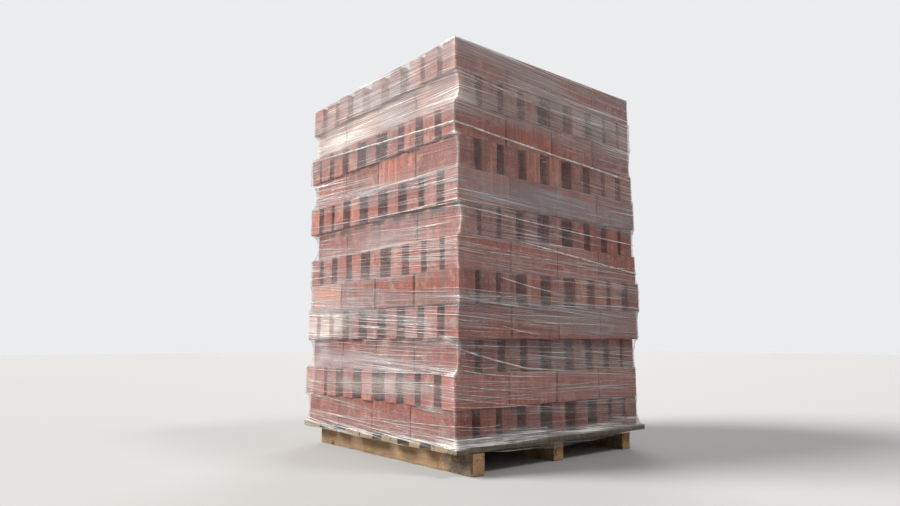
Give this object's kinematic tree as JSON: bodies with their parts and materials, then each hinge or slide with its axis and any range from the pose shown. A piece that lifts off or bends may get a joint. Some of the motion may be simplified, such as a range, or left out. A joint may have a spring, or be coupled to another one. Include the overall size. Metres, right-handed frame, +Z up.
{
  "type": "pallet of bricks",
  "caption": "Solid clay bricks stacked on edge in crossed courses on a light wooden pallet, wound in clear stretch film.",
  "frame": {"origin": "on the floor, under the middle of the pallet", "axes": "+Z up; X along the bearers and the pair of faces with bearer sides, Y along the deck boards; the face that the picture shows lit is at -Y and the one in shadow at +X"},
  "size_m": [0.9263, 0.9028, 1.3144],
  "materials": {
    "bearer_wood": "rough-sawn pine, orange brown, mossy at the end",
    "board_wood": "rough-sawn boards, some yellow, some weathered grey",
    "brick": "matt fired clay, orange to dark red",
    "film": "clear glossy stretch film, wrinkled and streaky"
  },
  "bodies": {
    "root": {"bearer_front": "bearer_wood", "bearer_middle": "bearer_wood", "bearer_back": "bearer_wood", "deck_board_1": "board_wood", "deck_board_2": "board_wood", "deck_board_3": "board_wood", "deck_board_4": "board_wood", "deck_board_5": "board_wood", "deck_board_6": "board_wood", "deck_board_7": "board_wood", "brick_course_01": "brick", "brick_course_02": "brick", "brick_course_03": "brick", "brick_course_04": "brick", "brick_course_05": "brick", "brick_course_06": "brick", "brick_course_07": "brick", "brick_course_08": "brick", "brick_course_09": "brick", "brick_course_10": "brick", "brick_course_11": "brick", "brick_course_12": "brick", "stretch_film": "film"}
  },
  "joints": []
}
